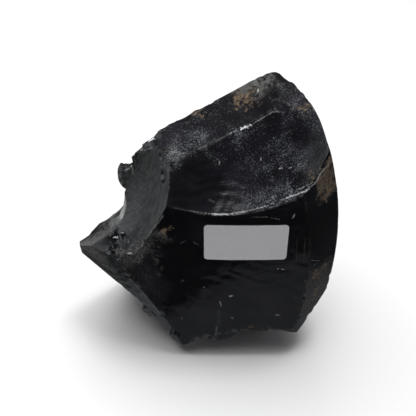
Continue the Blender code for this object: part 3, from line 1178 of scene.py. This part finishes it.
def on_skin(point):
    """The point moved along its ray onto the finished skin, as far from the heart as the nearest
    corner of the mesh is."""
    ray = unit(np.array(point) - HEART_MM)
    nearest = np.argmax(rays @ ray)
    return tuple((HEART_MM + ray * np.linalg.norm(skin[nearest] - HEART_MM)).tolist())


ragged = wires.step(wires.noise(place, 1.6, 4.0, 0.75), 0.38, 0.66, 0.15, 1.6)
nicks_and_painted_glints = 0.0
for start, end, half_wide, strength in NICKS_AND_PAINTED_GLINTS:
    ends = {"Start": on_skin(start), "End": on_skin(end)}
    values = {"Vector": place, **ends, "Wide": half_wide, "Ragged": ragged}
    mark = use_group(wires, STREAK_MARK, values)["Mask"]
    nicks_and_painted_glints = wires.math("MAXIMUM", nicks_and_painted_glints, wires.math("MULTIPLY", mark, strength))
nicks_and_painted_glints = wires.math("MINIMUM", nicks_and_painted_glints, 1.0)
with_nicks_and_painted_glints = coat(wires, with_fin_painted_light, nicks_and_painted_glints, wires.blend(nicks_and_painted_glints, NICK_AND_GLINT_DULL, PAINTED_GLINT_BRIGHT), NICK_AND_GLINT_ROUGH)
wires.feed(shader.inputs["Base Color"], with_nicks_and_painted_glints["Colour"])
wires.feed(shader.inputs["Roughness"], with_nicks_and_painted_glints["Roughness"])
print(len(glass.node_tree.nodes), "nodes with the nicks and glints")

# %% [markdown]
# ## The finest bumps
#
# Rings finer than the mesh and the pits of crushed and weathered glass are left to a Bump node. It
# bends the reflections without any new points.

# %% Bump
FINE_RING_MM = 0.004
# height of the pits on clean glass, and what crushed glass adds to it
PIT_MM = (0.02, 0.9)

rings = use_group(
    wires, RINGS, {"Vector": place, "Centre": BLOW_ABOVE_MM, "Spacing": 1.3, "Waver": 5.0}
)["Height"]
pits = wires.noise(place, 1.1, 4.0, 0.65)
rough_here = wires.math("MAXIMUM", crush, wires.math("MULTIPLY", cortex, 0.4))
pit_depth = wires.math("MULTIPLY_ADD", rough_here, PIT_MM[1], PIT_MM[0])
height = wires.math("MULTIPLY", pits, pit_depth)
height = wires.math("MULTIPLY_ADD", rings, FINE_RING_MM, height)
bump = wires.node("ShaderNodeBump", {"Strength": 1.0, "Distance": MM, "Height": height})
wires.feed(shader.inputs["Normal"], bump.outputs[0])
chunk.data.materials.append(glass)
print(len(glass.node_tree.nodes), "nodes in", glass.name)

# %% [markdown]
# ## The sticker
#
# A paper label is a thin slab: rounded corners, a soft edge, and the bend of the glass under it. A
# plane with Solidify and Bevel would do, but one net gives the soft edge and the lifted corner as
# well. One direction runs round its outline, the other from the middle of the front over the edge to
# the middle of the back.

# %% Sticker
STICKER_SIZE_MM = (38.1, 21.2)
STICKER_MIDDLE_MM = (19.0, -39.0, 83.0)
STICKER_THICK_MM = 0.22
STICKER_GAP_MM = 0.32
STICKER_CORNER_MM = 1.7
STICKER_BEND_MM = 400.0
STICKER_ROUND_COUNT = 160
FRONT_RINGS = 14
WAVE_MM = 0.05
LIFT_MM = 0.10


def rounded_outline(width, height, corner, count):
    """Points at even steps round a rectangle with round corners, as (x, z)."""
    fine_angle = np.radians(np.arange(0, 360, 1.5) + 0.75)
    middle_x = np.sign(np.cos(fine_angle)) * (width / 2.0 - corner)
    middle_z = np.sign(np.sin(fine_angle)) * (height / 2.0 - corner)
    x = middle_x + corner * np.cos(fine_angle)
    z = middle_z + corner * np.sin(fine_angle)
    walk = np.append(0.0, np.cumsum(np.hypot(np.diff(x, append=x[0]), np.diff(z, append=z[0]))))
    even = np.linspace(0.0, walk[-1], count, endpoint=False)
    return np.interp(even, walk, np.append(x, x[0])), np.interp(even, walk, np.append(z, z[0]))


def sticker_net():
    """The outline shrunk towards the middle, ring by ring: front, rounded edge and back. The depth of
    a point is its ring's depth plus x^2 over twice the bend's radius, less a low wave and the lift of
    the two top corners."""
    x, z = rounded_outline(*STICKER_SIZE_MM, STICKER_CORNER_MM, STICKER_ROUND_COUNT)
    front = [(share, 0.0) for share in np.linspace(0.04, 0.96, FRONT_RINGS)]
    edge = [(0.985, 0.0), (0.996, 0.05), (1.0, 0.11), (1.0, 0.17), (0.998, STICKER_THICK_MM)]
    back = [(share, STICKER_THICK_MM) for share in (0.9, 0.5, 0.05)]
    rows = np.array(front + edge + back)
    shrink, depth = rows[:, :1], rows[:, 1:]
    net_x = x * shrink
    net_z = z * shrink
    outward = -(STICKER_GAP_MM + STICKER_THICK_MM) + depth
    net_y = net_x**2 / (2.0 * STICKER_BEND_MM) + outward
    wave = WAVE_MM * np.sin(net_x * 0.31 + 0.6) * np.sin(net_z * 0.24 + 1.0)
    from_side = fade(np.abs(net_x) / (STICKER_SIZE_MM[0] / 2.0), 0.8, 1.0)
    from_below = fade(net_z / (STICKER_SIZE_MM[1] / 2.0), 0.5, 1.0)
    lift = LIFT_MM * from_side * from_below
    return np.stack([net_x, net_y - wave - lift, net_z], -1) + np.array(STICKER_MIDDLE_MM)


def tube_faces(rows, around):
    """Quads of a net that is closed in its second direction, and a face that closes each end."""
    i, j = np.meshgrid(np.arange(rows - 1), np.arange(around), indexing="ij")
    k = (j + 1) % around
    quads = np.stack([i * around + j, i * around + k, (i + 1) * around + k, (i + 1) * around + j], -1)
    first = list(range(around))[::-1]
    last = list(range((rows - 1) * around, rows * around))
    return quads.reshape(-1, 4).tolist() + [first, last]


net = sticker_net()
label = mesh_object("paper_label", net.reshape(-1, 3), tube_faces(*net.shape[:2]))
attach(label, "root")
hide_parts("paper_sticker")
print("label", [round(v * MM_IN_METRE, 1) for v in label.dimensions], "mm")

# %% [markdown]
# ## Paper
#
# Matte paper is even from afar, but close to it has a fine grain and a few soft grey stains. Both are
# noise, one fine and one broad, and the grain is a very low bump as well.

# %% Paper material
PAPER_DARK = (0.51, 0.51, 0.53, 1.0)
PAPER_LIGHT = (0.56, 0.56, 0.58, 1.0)
PAPER_STAIN = (0.47, 0.465, 0.48, 1.0)
PAPER_ROUGH = 0.6
GRAIN_HEIGHT = 0.00004

paper, wires, shader = new_material("label_paper")
place = wires.place_mm()
grain = wires.noise(place, 2.5, 4.0, 0.6)
stain = wires.noise(place, 0.09, 3.0, 0.55)
paper_colour = wires.blend(wires.step(grain, 0.35, 0.65), PAPER_DARK, PAPER_LIGHT)
stained = wires.step(stain, 0.5, 0.75, 0.0, 0.4)
wires.feed(shader.inputs["Base Color"], wires.blend(stained, paper_colour, PAPER_STAIN))
shader.inputs["Roughness"].default_value = PAPER_ROUGH
bump = wires.node("ShaderNodeBump", {"Strength": 0.6, "Distance": GRAIN_HEIGHT, "Height": grain})
wires.feed(shader.inputs["Normal"], bump.outputs[0])
label.data.materials.append(paper)
print(len(paper.node_tree.nodes), "nodes in", paper.name)

# %% [markdown]
# ## The floor
#
# Glass shows what it mirrors, and a white floor would make the whole front face grey. In a studio a
# black card would be laid down. Here a Light Path node gives the floor two looks: to the eye it is
# plain and pale, and to the glass it is a glow that is pale near the stone, brightest on the left, and
# dark further forward and on the right.

# %% Floor
FLOOR_HALF_MM = 3000.0
FLOOR_COLOUR = (0.82, 0.82, 0.82, 1.0)
MIRRORED_COLOUR = (0.93, 0.97, 1.0, 1.0)
NEAR_GLOW = 0.20
FORWARD_GLOW = 0.02
LEFT_GLOW = 0.35
RIGHT_GLOW = 0.03

floor_corners = np.array([(-1, -1, 0), (1, -1, 0), (1, 1, 0), (-1, 1, 0)]) * FLOOR_HALF_MM
floor = mesh_object("studio_floor", floor_corners, [(0, 1, 2, 3)])

floor_finish, wires, diffuse = new_material("studio_floor")
floor.data.materials.append(floor_finish)
diffuse.inputs["Base Color"].default_value = FLOOR_COLOUR
diffuse.inputs["Roughness"].default_value = 1.0
diffuse.inputs["Specular IOR Level"].default_value = 0.0
spot_x, spot_y, _ = wires.node("ShaderNodeSeparateXYZ", (wires.place_mm(),)).outputs
# the glow ends in front along a line that slants on the left and runs 112 mm in front on the right
border = wires.math("MULTIPLY_ADD", spot_x, -1.05, -90.0)
border = wires.math("SMOOTH_MAX", border, -112.0, 12.0)
behind = wires.math("SUBTRACT", spot_y, border)
near_glow = wires.step(behind, -5.0, 5.0, FORWARD_GLOW, NEAR_GLOW)
near_glow = wires.math("MULTIPLY", near_glow, wires.step(spot_x, 105.0, 135.0, 1.0, 0.06))
left_glow = wires.math("MULTIPLY", wires.step(spot_x, -70.0, -150.0), wires.step(spot_y, -130.0, -40.0))
right_glow = wires.step(spot_x, 70.0, 130.0, 0.0, RIGHT_GLOW)
glow = wires.math("ADD", near_glow, wires.math("MULTIPLY", left_glow, LEFT_GLOW))
glow = wires.math("ADD", glow, right_glow)
mirrored = wires.node("ShaderNodeEmission", {"Color": MIRRORED_COLOUR, "Strength": glow})
path = wires.node("ShaderNodeLightPath").outputs
looks = (path["Is Glossy Ray"], diffuse.outputs[0], mirrored.outputs[0])
chosen = wires.node("ShaderNodeMixShader", looks)
floor_output = floor_finish.node_tree.nodes["Material Output"]
wires.feed(floor_output.inputs["Surface"], chosen.outputs[0])
print("floor", 2.0 * FLOOR_HALF_MM * MM, "m wide")

# %% [markdown]
# ## The room
#
# The glass mirrors a dark room with a bright window on the left, a small lamp above the front, and a
# faint glow from the back and from the right. Real lamps would light the floor too, so these are
# painted into the world's background as soft spots, and only glossy rays see them. The eye sees plain
# white, and matte surfaces get a little even light.

# %% Surroundings
ROOM_DARK = (0.03, 0.03, 0.033, 1.0)
EVEN_LIGHT = (0.12, 0.12, 0.126, 1.0)
WHITE = (1.0, 1.0, 1.0, 1.0)
GLOWS = (
    # direction, half angle where it ends and where it is full in degrees, strength, colour
    ((-0.95, -0.10, 0.30), 30.0, 10.0, 1.6, (0.92, 0.96, 1.0, 1.0)),
    ((-0.15, -0.27, 0.95), 7.0, 2.0, 2.5, WHITE),
    ((0.0, 0.35, 0.95), 60.0, 10.0, 0.12, (0.9, 0.95, 1.0, 1.0)),
    ((0.9, -0.3, 0.25), 35.0, 10.0, 0.05, (0.9, 0.93, 1.0, 1.0)),
)
world = bpy.data.worlds.new("studio")
bpy.context.scene.world = world
world.use_nodes = True
wires = Wires(world.node_tree)
heading = wires.node("ShaderNodeTexCoord").outputs["Generated"]
room = ROOM_DARK
for direction, end_deg, full_deg, strength, tint in GLOWS:
    aim = tuple(unit(np.array(direction)).tolist())
    cosine = wires.vector("DOT_PRODUCT", heading, aim)
    end_cosine, full_cosine = [math.cos(math.radians(angle)) for angle in (end_deg, full_deg)]
    power = wires.step(cosine, end_cosine, full_cosine, 0.0, strength)
    room = wires.blend(1.0, room, wires.blend(1.0, tint, power, "MULTIPLY"), "ADD")
path = wires.node("ShaderNodeLightPath").outputs
unmirrored = wires.blend(path["Is Camera Ray"], EVEN_LIGHT, WHITE)
shown = wires.blend(path["Is Glossy Ray"], unmirrored, room)
wires.feed(world.node_tree.nodes["Background"].inputs["Color"], shown)
print(len(GLOWS), "glows in", world.name)

# %% [markdown]
# ## Lamps
#
# One big softbox overhead lights the stone and the label. Another one, with a smaller lamp to its
# right that gives the shadow its edge, lights only the floor. Light linking keeps them apart, so the
# shadow and the dust can be set one by one, and none of the lamps shows in the glass.

# %% Lamps
LAMPS = (
    # name, place in m, side in m, watts, what it lights
    ("floor_softbox", (-0.14, 0.20, 1.30), 1.4, 21.0, (floor,)),
    ("floor_lamp", (0.26, -0.02, 1.45), 0.40, 7.0, (floor,)),
    ("stone_softbox", (-0.12, 0.22, 1.25), 1.1, 30.0, (chunk, label)),
)


def add_softbox(name, place, side, watts, lit):
    """A square lamp aimed at the origin that lights only some objects and shows in no reflection."""
    data = bpy.data.lights.new(name, "AREA")
    data.shape = "SQUARE"
    data.size = side
    data.energy = watts
    lamp = bpy.data.objects.new(name, data)
    lamp.location = place
    lamp.rotation_euler = Vector(place).to_track_quat("Z", "Y").to_euler()
    lamp.visible_glossy = False
    receivers = bpy.data.collections.new(name + "_lights")
    for made in lit:
        receivers.objects.link(made)
    lamp.light_linking.receiver_collection = receivers
    bpy.context.scene.collection.objects.link(lamp)


for lamp_row in LAMPS:
    add_softbox(*lamp_row)
bpy.context.scene.view_settings.view_transform = "Standard"
print(len(LAMPS), "lamps")

# %% [markdown]
